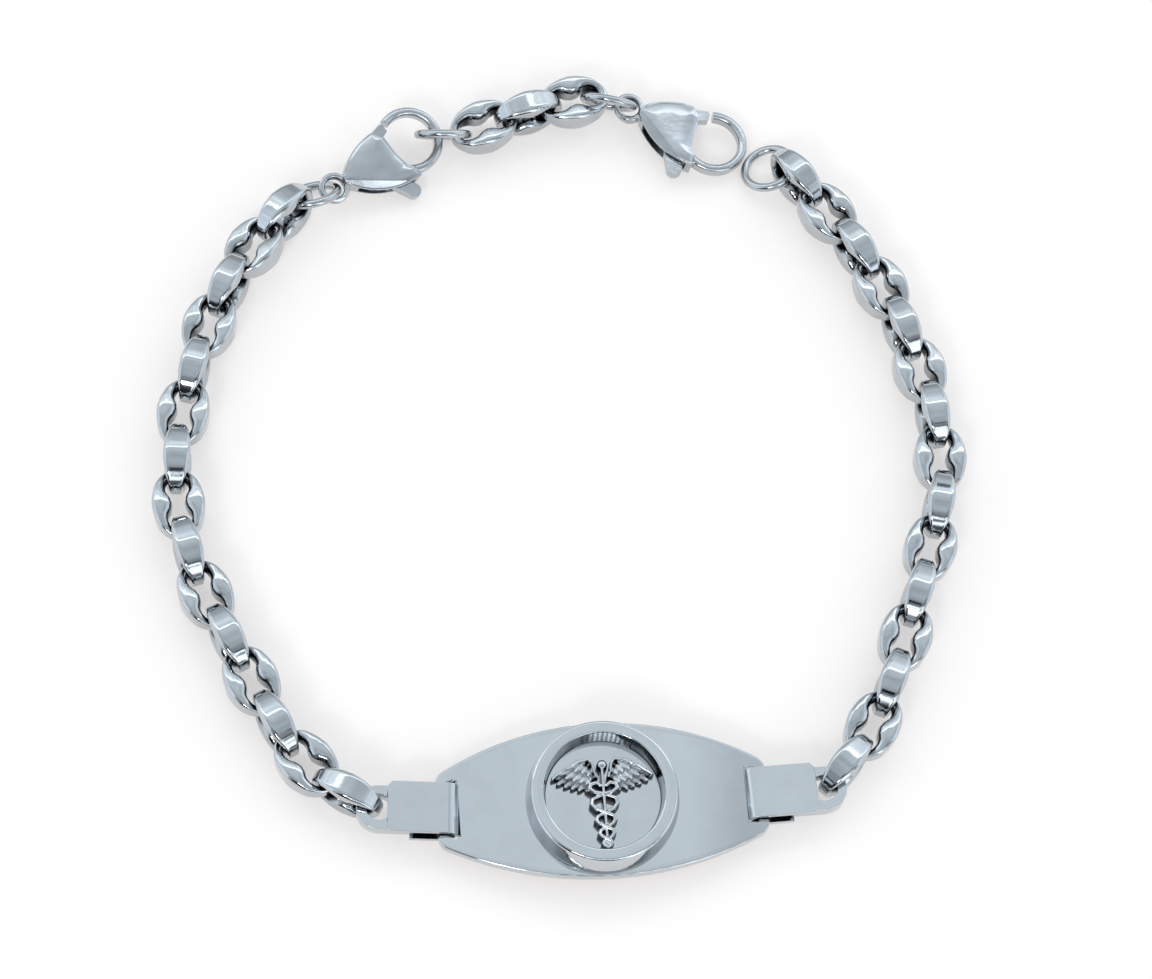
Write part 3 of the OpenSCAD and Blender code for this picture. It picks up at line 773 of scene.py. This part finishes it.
def domed(points):
    x, y, z = points.T
    depth = np.interp(y, MOUTH_Y, MOUTH_X) - x
    for arc_x, arc_y, arc_r in SIDE_ARCS:
        depth = np.minimum(depth, arc_r - np.hypot(x - arc_x, y - arc_y))
    near_edge = 1 - np.clip(depth / SWELL_RUN, 0, 1)
    swell = SWELL_LEAST + (1 - SWELL_LEAST) * np.sqrt(1 - near_edge ** 2)
    shell = np.sign(z) * (LEAF_FOOT + (np.abs(z) - LEAF_FOOT) * swell)
    body = np.where(np.abs(z) > LEAF_FOOT, shell, z)
    across = np.where(x > EYE_TO_X, (np.hypot(x - HOOK_X, y - HOOK_Y) - HOOK_R) / HOOK_HALF,
        (np.hypot(x, y) - EYE_R) / EYE_HALF)
    round_bar = (1 - np.clip(np.abs(across), 0, BAR_MOST) ** 2) ** BAR_ROUND
    not_body = (x > HOOK_FROM_X) | (y < HOOK_BELOW_Y) | (x < EYE_TO_X)
    on_bar = (np.abs(across) < BAR_REACH) & not_body
    bar = z * np.where(on_bar, round_bar, 1)
    inside = np.clip(depth / BLEND_RUN + 0.5, 0, 1)
    slot = (np.abs(z) < SLOT_HALF) & (depth > SLOT_FROM_DEPTH)
    clear = np.where(slot & (x < SLOT_END_X) & (y < SLOT_END_Y), SLOT_BACK, 0)
    # painted shade inside the lever's slot and on the inside of the eye
    dark = np.where(slot, SLOT_SHADE, np.where(np.hypot(x, y) < EYE_HOLE_R, EYE_SHADE, 0))
    return np.stack([x - clear, y, body * inside + bar * (1 - inside)], 1), dark

print("the body swells over", SWELL_RUN, "mm from its edge")

# %% [markdown]
# The rule needs small even faces to work on, so the copy of the solid is remeshed first. Two
# rounds of smoothing afterwards take off the last steps, as polishing does.

# %% Clasps
GRAIN_MM, POLISH_ROUNDS = 0.055, 2

def tumbled(node, place):
    made = solid_copy(node)
    remesh = made.modifiers.new("remesh", "REMESH")
    remesh.mode, remesh.voxel_size, remesh.use_smooth_shade = "VOXEL", GRAIN_MM * MM, True
    made = baked(made, made.name, clasp_steel)
    points = np.array([place.inverted() @ (v.co / MM) for v in made.data.vertices])
    spots, dark = domed(points)
    for vertex, spot in zip(made.data.vertices, spots):
        vertex.co = (place @ Vector(spot)) * MM
    paint_shade(made, dark)
    smooth = made.modifiers.new("smooth", "SMOOTH")
    smooth.factor, smooth.iterations = 0.5, POLISH_ROUNDS
    made = baked(made, node + "_polished", clasp_steel)
    finished(made, [node])

tumbled("clasp_1", clasp_frame((-20.0, 29.4, 2), 32, 0, 15))
tumbled("clasp_2", clasp_frame((8.0, 36.9, 1.95), -26.5, 5, 0))

# %% [markdown]
# The levers are stamped flat and only lose their sharp edges, so the bevel does for them. Each one
# rides on a body of its own, because it turns on its pin.

# %% Levers
LEVER_BEVEL = 0.14

for lever in ("clasp_1_lever", "clasp_2_lever"):
    bevelled(lever, LEVER_BEVEL, clasp_steel, lever)

# %% [markdown]
# Polished metal is a picture of its surroundings, so the studio is part of the material. It starts
# with the table, which is pale and matt and glows a little, so that it comes out as white as in
# the photograph but still takes the soft shadows.

# %% Table
TABLE_HALF, TABLE_PAINT, TABLE_GLOW = 1500, (0.68, 0.62, 0.582), 0.38

def card_material(name, paint, glow=0.0):
    made = bpy.data.materials.new(name)
    made.use_nodes = True
    shader = made.node_tree.nodes["Principled BSDF"]
    shader.inputs["Base Color"].default_value = (*paint, 1)
    shader.inputs["Roughness"].default_value = 0.9
    shader.inputs["Specular IOR Level"].default_value = 0.1
    if glow:
        shader.inputs["Emission Color"].default_value = (1, 1, 1, 1)
        shader.inputs["Emission Strength"].default_value = glow
    return made

def flat_card(name, half, paint):
    corners = [(-half, -half, 0), (half, -half, 0), (half, half, 0), (-half, half, 0)]
    return mesh_piece(name, corners, [(0, 1, 2, 3)], paint)

bpy.context.scene.view_settings.view_transform = "Standard"
table = flat_card("table_top", TABLE_HALF, card_material("table_paint", TABLE_PAINT, TABLE_GLOW))
print("table:", [round(v, 2) for v in table.dimensions], "m")

# %% [markdown]
# The room is painted by direction, as tones along the line from the front, where the camera
# stands, to the back. A dozen lamps and screens would do the same, only slower. A bright window
# low in front lights the links' near ends, the zone round the camera is dim, and the narrow bright
# strip past the top draws the line of light across every link.

# %% Room tones
ROOM_TONES = [  # how far back, from -1 to 1, and how bright
    (-1.0, 0.08), (-0.92, 0.12), (-0.88, 1.6), (-0.6, 1.9), (-0.55, 0.32), (-0.36, 0.28),
    (-0.22, 0.5), (0.1, 0.54), (0.36, 0.62), (0.465, 0.68), (0.485, 2.1), (0.53, 2.1),
    (0.55, 0.8), (0.64, 1.0), (0.8, 0.62), (1.0, 0.3)]
ROOM_TINT, ROOM_POWER = (0.89, 0.975, 1.04), 2.9

world = bpy.data.worlds.new("studio")
bpy.context.scene.world = world
world.use_nodes = True
sky, sky_links = world.node_tree.nodes, world.node_tree.links
where = sky.new("ShaderNodeTexCoord")
split = sky.new("ShaderNodeSeparateXYZ")
along = sky.new("ShaderNodeMapRange")
along.inputs["From Min"].default_value = -1
ramp = sky.new("ShaderNodeValToRGB")
elements = ramp.color_ramp.elements
for k, (spot, value) in enumerate(ROOM_TONES):
    step = elements[0] if k == 0 else elements[-1] if k == len(ROOM_TONES) - 1 else \
        elements.new((spot + 1) / 2)
    step.color = (*[value / 2 * c for c in ROOM_TINT], 1)
sky_links.new(where.outputs["Generated"], split.inputs["Vector"])
sky_links.new(split.outputs["Y"], along.inputs["Value"])
sky_links.new(along.outputs["Result"], ramp.inputs["Fac"])
print("room tones:", len(elements))

# %% [markdown]
# Four things break the tones up: stripes as of blinds in the bright window, which show in the
# cup's wall, plain grey at both sides, a dark corner that blackens the edges facing it, and soft
# clouds, so that large faces don't look printed. Three small helpers add the nodes for this.

# %% Helpers for the room's nodes
def sky_math(kind, first, second=0.0):
    node = sky.new("ShaderNodeMath")
    node.operation = kind
    for slot, value in enumerate((first, second)):
        if isinstance(value, float):
            node.inputs[slot].default_value = value
        else:
            sky_links.new(value, node.inputs[slot])
    return node.outputs["Value"]

def sky_range(value, low, high, to_low=0.0, to_high=1.0):
    node = sky.new("ShaderNodeMapRange")
    limits = {"From Min": low, "From Max": high, "To Min": to_low, "To Max": to_high}
    for name, number in limits.items():
        node.inputs[name].default_value = number
    sky_links.new(value, node.inputs["Value"])
    return node.outputs["Result"]

def sky_mix(kind, factor, first, second):
    node = sky.new("ShaderNodeMix")
    node.data_type, node.blend_type = "RGBA", kind
    for name, value in (("Factor", factor), ("A", first), ("B", second)):
        if isinstance(value, (float, tuple)):
            node.inputs[name].default_value = value
        else:
            sky_links.new(value, node.inputs[name])
    return node.outputs["Result"]

print("nodes in the room so far:", len(sky))

# %% Stripes, sides, corner and clouds
STRIPES, STRIPE_DARK = 85.0, 0.1
CLOUD_SCALE, CLOUD_DARK, CLOUD_BRIGHT = 5, 0.84, 1.16
SIDE_GREY, CORNER_DARK = (0.36, 0.40, 0.44, 1), (0.006, 0.007, 0.008, 1.0)

across, back = split.outputs["X"], split.outputs["Y"]
soft = sky.new("ShaderNodeTexNoise")
soft.inputs["Scale"].default_value = CLOUD_SCALE
sky_links.new(where.outputs["Generated"], soft.inputs["Vector"])
clouds = sky_range(soft.outputs["Fac"], 0.3, 0.7, CLOUD_DARK, CLOUD_BRIGHT)
waves = sky_math("SINE", sky_math("MULTIPLY", across, STRIPES))
blinds = sky_range(waves, -0.35, 0.35, STRIPE_DARK)
front = sky_math("MULTIPLY", sky_range(back, -0.74, -0.72), sky_range(back, -0.44, -0.47))
aside = sky_range(sky_math("ABSOLUTE", across), 0.55, 0.85)
corner = sky_math("MULTIPLY", sky_range(across, -0.3, -0.34), sky_range(back, -0.56, -0.6))
room = sky_mix("MIX", aside, ramp.outputs["Color"], SIDE_GREY)
room = sky_mix("MULTIPLY", front, room, blinds)
room = sky_mix("MIX", corner, room, CORNER_DARK)
room = sky_mix("MULTIPLY", 1.0, room, clouds)
sky_links.new(room, sky["Background"].inputs["Color"])
sky["Background"].inputs["Strength"].default_value = ROOM_POWER
print("the room has", len(sky), "nodes")

# %% [markdown]
# One small soft lamp gives the highlights a direction. A few cards, which the camera can't see,
# stand for its lens and for things round it. Their reflections are the small black marks on the
# links.

# %% Lamp and cards
CARDS = [  # name, place and size in metres, grey
    ("lens_card", camera.location * 1.02, (0.075, 0.05), 0.01),
    ("window_pane", (0.02, -0.6, 0.48), (0.3, 0.12), 0.3),
    ("stand_1", (0.19, -0.19, 0.55), (0.018, 0.07), 0.01),
    ("stand_2", (-0.22, 0.02, 0.57), (0.05, 0.015), 0.01),
    ("stand_3", (0.2, 0.42, 0.4), (0.02, 0.09), 0.01)]

def facing_middle(at):
    return Matrix.Translation(Vector(at)) @ Vector(at).to_track_quat("Z", "Y").to_matrix().to_4x4()

def soft_lamp(name, at, size, power_w):
    data = bpy.data.lights.new(name, "AREA")
    data.shape, data.size, data.size_y = "RECTANGLE", size[0], size[1]
    data.energy = power_w
    lamp = bpy.data.objects.new(name, data)
    bpy.context.scene.collection.objects.link(lamp)
    lamp.matrix_world = facing_middle(at)

def stage_card(name, at, size, grey):
    card = flat_card(name, 0.5, card_material(name + "_paint", (grey, grey, grey)))
    card.matrix_world = facing_middle(at) @ Matrix.Diagonal((size[0] / MM, size[1] / MM, 1, 1))
    card.visible_camera = card.visible_shadow = False

soft_lamp("window", (-0.5, -0.9, 0.9), (0.25, 0.25), 3)
for card in CARDS:
    stage_card(*card)
print("studio:", len(bpy.data.lights), "lamp and", len(CARDS), "cards")
